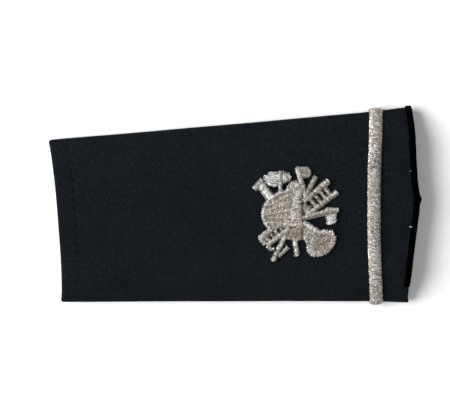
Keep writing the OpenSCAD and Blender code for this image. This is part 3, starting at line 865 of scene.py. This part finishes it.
def fill(cad_name, turn, rise, shoulder, stitch, dimple, material, seed, pitch=0.2, rib=0.0,
         rib_height=0.0, fan=(0, 0), overlap=0.1):
    """Rows of stitches over the whole top of a solid, at an angle in degrees."""
    mesh = mesh_from(solid_of(cad_name), cad_name + "_patch")
    centre = Vector((*emblem_point(*fan), 0)) * MM
    return grown(mesh, filled_stitch, Turn=math.radians(turn), Pitch=pitch * MM, Thread=FILL_THREAD * MM,
                 Rise=rise * MM, Shoulder=shoulder * MM, Overlap=overlap * MM, Stitch=stitch * MM,
                 Dimple=dimple * MM, Ragged=FILL_RAGGED * MM, Fan=centre[:], Rib=rib, Seed=seed,
                 Material=material, **{"Rib height": rib_height * MM})


def worked(cad_name, slot, *layers, drawn_in=0.07, padding=shade_toned_padding):
    """One motif of the emblem: its layers of thread over its padding, in place of its solid."""
    padded = underlay(cad_name, drawn_in, PADDING_LOWERED, padding)
    made = one_piece(cad_name + "_thread", [*layers, padded])
    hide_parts(cad_name)
    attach(made, "root")


def arc(centre, radii, turn, start, stop, count, width, thinner=0.0):
    """Points along an ellipse from one angle to another, with the stroke's width."""
    points = []
    for k in range(count):
        t = math.radians(start + (stop - start) * k / (count - 1))
        a, b = radii[0] * math.cos(t), radii[1] * math.sin(t)
        points.append((centre[0] + a * math.cos(turn) - b * math.sin(turn),
                       centre[1] + a * math.sin(turn) + b * math.cos(turn), width - thinner * k / (count - 1)))
    return points


# The helmet: crown, the rim round it, the comb between crown and brim, and the brim with its two lobes
HELMET, RIM_RADII = (-6, 0.8), (31.2 - 1.8, 25.6 - 1.8)
BRIM_FAR, BRIM_RADIUS = 92.0, 91.2
worked("helmet_crown", "dull_thread", fill(
    "helmet_crown", 82, 0.62, 0.3, 1.0, 0.12, dull_thread, 3, rib=20, rib_height=0.1, fan=(-57, -3),
    overlap=0.16))
worked("helmet_rim", "bright_thread", stroke(
    arc(HELMET, RIM_RADII, 0, 219, 96, 30, 4.4, 1.6), 0.84, 0.35, 5, steps=3, roundness=0.6))
worked("helmet_crest", "bright_thread",
       fill("helmet_crest", 62, 0.86, 0.3, 1.3, 0.12, dull_thread, 55),
       stroke([(-2.8, -13, 4.6, 0.5), (-3.4, -8, 6.2, 0.75), (-3.5, -3, 7.0, 0.95), (-3, 3.5, 7.4, 1),
               (-1.9, 11, 7.4, 1), (0.1, 18.3, 7.6, 1), (2, 24, 7.6, 1), (3.4, 28, 7.2, 0.9)],
              1.0, 0.4, 6, comb_highlight_thread, steps=4, roundness=0.5, pitch=0.3, thread=0.16))
brim_line = [(BRIM_FAR - math.sqrt(BRIM_RADIUS**2 - (y - 5.6) ** 2), y, 7.8) for y in range(-14, 24, 4)]
worked("helmet_brim", "dull_thread",
       fill("helmet_brim", 62, 0.6, 0.5, 1.3, 0.12, deep_shaded_thread, 44),
       stroke([(-16.6, -24.6, 4.6), (-12.6, -20.8, 7), (-8.4, -16.4, 8)],
              0.5, 0.2, 54, deep_shaded_thread, steps=5, roundness=0.6),
       stroke(brim_line, 0.9, 0.3, 7, half_lit_silver_thread, steps=4, roundness=0.5),
       stroke([(-9.4, 24.6, 4), (-6, 27.8, 9), (-1.6, 29, 11.4), (2.4, 28.6, 10.6)],
              0.5, 0.2, 43, comb_highlight_thread, base=0.3, steps=5, roundness=0.6))

# The trumpet: mouthpiece, tube, neck, and the bell's rim round its mouth
BELL, BELL_TURN = (25, -33.4), math.radians(40)
BELL_MID = (17.2 - 2.6, 12.2 - 2.6)
worked("trumpet_mouthpiece", "bright_thread", stroke(
    [(-44, 28.4, 5.2), (-35.6, 38, 5.2)], 0.74, 0.1, 8, pitch=0.17, thread=0.11, roundness=0.9))
worked("trumpet_tube", "bright_thread", stroke(
    [(-37.4, 32.8, 8), (-26, 15.8, 9.2)], 0.78, 0.3, 9, highlight_and_pale_thread, pitch=0.2, thread=0.12, roundness=0.9))
worked("trumpet_neck", "bright_thread",
       fill("trumpet_neck", 52, 0.6, 0.4, 1.4, 0.14, half_lit_silver_thread, 10),
       stroke([(6.2, -10.2, 4.4), (11.5, -13.6, 5.6), (20.6, -20, 4.8)],
              0.42, 0.7, 45, highlight_and_pale_thread, base=0.24),
       stroke([(19.6, -19.6, 3.8), (24.4, -21.6, 3.4), (30, -21.4, 2.6), (36, -24.8, 1.8)],
              0.46, 0.2, 50, base=0.22, steps=5))
worked("trumpet_rim", "bright_thread",
       stroke(arc(BELL, BELL_MID, BELL_TURN, 72, -205, 24, 5.0),
              0.66, 0.3, 12, half_lit_silver_thread, steps=3, pitch=0.3, roundness=0.7),
       stroke(arc(BELL, BELL_MID, BELL_TURN, 60, 165, 10, 5.4), 0.5, 0.3, 46, half_lit_silver_thread, steps=3),
       stroke(arc(BELL, (13.6, 8.8), BELL_TURN, -85, -262, 22, 5.8),
              0.44, 0.35, 53, half_lit_silver_thread, base=0.2, steps=3, roundness=0.6),
       stroke(arc(BELL, (16.2, 11.2), BELL_TURN, 50, -200, 20, 2.8),
              0.5, 0.4, 52, highlight_and_pale_thread, base=0.16, steps=3, pitch=0.72),
       drawn_in=0.3)
worked("trumpet_mouth", "dull_thread", fill(
    "trumpet_mouth", 30, 0.5, 0.2, 1.2, 0.06, deep_shaded_thread, 13, pitch=0.17, overlap=0.2))

# The axes: a handle laid over each blade
worked("axe_left", "bright_thread",
       stroke([(-24, 45.6, 7), (-24, 43.4, 14), (-24, 41, 19), (-24, 38, 18), (-24, 35, 15), (-24, 32.4, 10),
               (-24, 30.8, 5)], 0.66, -0.9, 14, highlight_and_pale_thread, steps=4, roundness=0.6, pitch=0.34, thread=0.18),
       stroke([(-17.5, 39.4, 12.4), (-12, 39.4, 12.6), (-8.8, 39.4, 10), (-7, 39.4, 7), (-5.8, 39.4, 3)],
              0.56, 0.2, 47, steps=5, pitch=0.19, thread=0.12, roundness=0.9),
       stroke([(-16.4, 46, 3.9), (-17.2, 24, 3.9)], 0.36, 0.2, 15, base=0.34))
worked("axe_left_foot", "bright_thread", stroke(
    [(-3.4, -27.4, 4.8), (-0.9, -45.6, 4.8)], 0.66, 0.9, 16, pitch=0.3, thread=0.16))
worked("axe_top", "dull_thread",
       fill("axe_top", 4, 0.42, 0.4, 1.3, 0.12, dull_thread, 17),
       stroke([(1.2, 48.9, 4.4), (9, 18.6, 4.4)], 0.4, 0.2, 18, base=0.26),
       stroke([(4.4, 48.2, 1.8), (11.6, 48.2, 1.8), (14, 44.6, 1.8), (13.8, 41, 1.8), (10.4, 39.4, 1.8)],
              0.22, 0.1, 19, half_lit_silver_thread, base=0.25, steps=4))
worked("axe_right", "bright_thread",
       stroke([(4.4, -4.9, 4.4), (18, -2, 4.0), (32, 1.4, 3.5)], 0.5, 0.25, 21, half_lit_silver_thread, base=0.12),
       stroke([(30.4, 2.8, 3.6), (43.6, 2.2, 3.6)], 0.46, 0.2, 22, base=0.1),
       stroke([(35.4, 2.4, 9.6), (35.7, -3.4, 10.4)], 0.5, 1.0, 51, dull_thread, steps=8, roundness=0.6),
       stroke([(35.7, -2.6, 10.2), (36.4, -12.4, 9.6)], 0.62, 1.0, 20, highlight_and_pale_thread, roundness=0.6))

# The hooked pole: its tip above the helmet, and its foot below with the hook beside it
FINE = {"pitch": 0.24, "thread": 0.135}
OPEN_WORK = {"drawn_in": 0.12, "padding": dark_padding}
worked("pole_tip", "dull_thread",
       stroke([(20.3, 39, 3.8), (5.4, 12.6, 3.6)], 0.56, 0.25, 23, half_lit_silver_thread))
worked("pole_foot", "bright_thread",
       stroke([(-20.4, -45.6, 4.2), (-15.6, -41, 4.6), (-10.4, -35.8, 5.2)], 0.5, 0.2, 24, **FINE),
       stroke([(-26.6, -50.4, 4.8), (-13.2, -24, 5)], 0.62, 0.5, 25, **FINE), **OPEN_WORK)

# The ladder: two rails with rungs between them, above and below the helmet
LADDER, LADDER_TURN = (24.4, 17.6), math.radians(37)
RAIL_W, RAIL_INSET = 5.4, 2.7


def ladder_point(along, up, width):
    c, s = math.cos(LADDER_TURN), math.sin(LADDER_TURN)
    return LADDER[0] + along * c - (up - 1) * s, LADDER[1] + along * s + (up - 1) * c, width


def rail(side, start, stop, seed, material):
    """A rail from start to stop along the ladder. The ladder narrows toward its foot."""
    line = []
    for x in (start, stop):
        wider = 0.9 if side > 0 and x > -30 else 0
        spread = np.interp(x, (-77, 12.4), (7.9, 9.8)) - RAIL_INSET + wider
        line.append(ladder_point(x, side * spread, RAIL_W))
    return stroke(line, 0.56, 0.25, seed, material, **FINE)


def rungs(*rows):
    """Rungs by their place along the ladder, width, seed and half length."""
    return [stroke([ladder_point(x, -reach, wide), ladder_point(x, reach, wide)], 0.4, 0.12, seed, dull_thread)
            for x, wide, seed, reach in rows]


worked("ladder_top", "dull_thread",
       rail(1, -16, 14, 26, half_lit_silver_thread), rail(-1, -24, 16.6, 27, half_lit_silver_thread),
       *rungs((-19.2, 9.4, 30, 5), (-9.75, 3.7, 31, 5), (-3.25, 3.6, 32, 5), (3.25, 3.6, 33, 5),
              (9.6, 4.2, 34, 5)),
       stroke([ladder_point(12.2, 8.1, 6), ladder_point(17, 8.1, 6)], 0.54, 0.2, 48), **OPEN_WORK)
worked("ladder_foot", "dull_thread",
       rail(1, -76.4, -50, 35, bright_thread), rail(-1, -75.4, -46, 36, bright_thread),
       *rungs((-71, 4.6, 37, 4), (-64.8, 3.5, 38, 4), (-59.2, 3.5, 39, 4), (-53.2, 3.8, 40, 3.4),
              (-48.8, 3.4, 49, 3.4)),
       stroke([ladder_point(-76.4, -2.4, 5), ladder_point(-76.4, 7.2, 5)], 0.5, 0.2, 41),
       stroke([(-30.4, -30.6, 4.4), (-31.4, -34.4, 4.2), (-30.2, -37, 4), (-25.2, -37.4, 3.8)],
              0.5, 0.2, 42, dull_thread, steps=5), **OPEN_WORK)

# ---------------------------------------------------------------- Loose thread ends
# Two pale thread ends stick out from under the binding's inner edge, where the embroidery's thread was
# cut and caught by the tape.

# Place along and across the board, way it points in degrees, length
LOOSE_ENDS = ((45.45, 10.9, 196, 0.5), (45.62, -4.2, 165, 0.72))
BENDS, SEAT, ARCH, LOOSE_THREAD = 5, 0.12, 0.25, 0.13


def loose_end(x, y, turn, long):
    """A short line that arches off the cloth between its two ends."""
    w, a = half_width((x - START_X) / BOARD_LEN), math.radians(turn)
    points = []
    for k in range(BENDS + 1):
        t = k / BENDS
        reach = (0.55 - t) * long
        y_here = y - reach * math.sin(a)
        z = girth_point(w, girth_at(w, y_here), SEAT + ARCH * math.sin(math.pi * t))[1]
        points.append((x - reach * math.cos(a), y_here, z))
    return line_mesh("loose_end", points)


def thin_thread_tree():
    tree, given = geometry_tree("thin_thread", "Thread")
    return finish_tree(thread_tube(as_curve(given["Geometry"]), given["Thread"]), given)


thin_thread = thin_thread_tree()
blue_grey_thread = thread_finish("blue_grey_thread", (0.04, 0.045, 0.065, 1), (0.2, 0.22, 0.3, 1),
                                 0.6, 0.2, 0.1)
ends = one_piece("loose_thread_ends", [
    grown(loose_end(*place), thin_thread, Thread=LOOSE_THREAD * MM, Material=thread)
    for place, thread in zip(LOOSE_ENDS, (blue_grey_thread, highlight_and_pale_thread))])
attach(ends, "root")

# ---------------------------------------------------------------- Stage, light and camera
# A plain near-white table, a soft lamp from the upper left and a pale room, seen as in the photograph:
# almost from above, a little from the far side.

TABLE, TABLE_DROP = 3.0, 0.00002
ROOM_LIGHT = 0.31


def paper_finish():
    """Smooth pale card: hardly any change of tone, and a very fine grain."""
    material, tree, solid = new_finish("pale_table")
    colour = blend(mottle(solid, 9.0), (0.852, 0.852, 0.850, 1), (0.868, 0.868, 0.870, 1))
    return shaded(material, {"Strength": 0.3, "Distance": 0.00002, "Height": mottle(solid, 2500.0)}, {
        "Base Color": colour, "Roughness": 0.9, "Specular IOR Level": 0.1})


table = bpy.data.meshes.new("table")
table.from_pydata([(-TABLE, -TABLE, -TABLE_DROP), (TABLE, -TABLE, -TABLE_DROP), (TABLE, TABLE, -TABLE_DROP),
                   (-TABLE, TABLE, -TABLE_DROP)], [], [(0, 1, 2, 3)])
piece("table", table, paper_finish())


def lamp(name, place, size, watts):
    """A round soft lamp that points at the middle of the board."""
    light = bpy.data.lights.new(name, "AREA")
    light.shape, light.size, light.energy = "DISK", size, watts
    made = bpy.data.objects.new(name, light)
    made.location = place
    made.rotation_euler = (-Vector(place)).to_track_quat("-Z", "Y").to_euler()
    bpy.context.scene.collection.objects.link(made)


lamp("window", (-0.95, 0.25, 0.66), 1.0, 30.5)
lamp("fill", (0.6, -0.4, 0.9), 1.0, 2.0)
world = bpy.data.worlds.new("pale_room")
world.use_nodes = True
world.node_tree.nodes["Background"].inputs[0].default_value = (1.0, 1.0, 1.0, 1)
world.node_tree.nodes["Background"].inputs[1].default_value = ROOM_LIGHT
bpy.context.scene.world = world
bpy.context.scene.view_settings.view_transform = "Standard"

CAMERA_PLACE = (-9.884, 64.452, 261.251)
CAMERA_TILT, CAMERA_SWING, CAMERA_ROLL = math.radians(13.0323), math.radians(1.9868), math.radians(2.0938)
camera_data = bpy.data.cameras.new("camera")
camera_data.sensor_width, camera_data.lens = 36.0, 80.0
camera_data.clip_start, camera_data.clip_end = 0.01, 10
camera = bpy.data.objects.new("camera", camera_data)
turn = (Matrix.Rotation(CAMERA_TILT, 3, "X") @ Matrix.Rotation(CAMERA_SWING, 3, "Y")
        @ Matrix.Rotation(CAMERA_ROLL, 3, "Z")).transposed()
camera.matrix_world = Matrix.Translation(Vector(CAMERA_PLACE) * MM) @ turn.to_4x4()
bpy.context.scene.collection.objects.link(camera)
bpy.context.scene.camera = camera
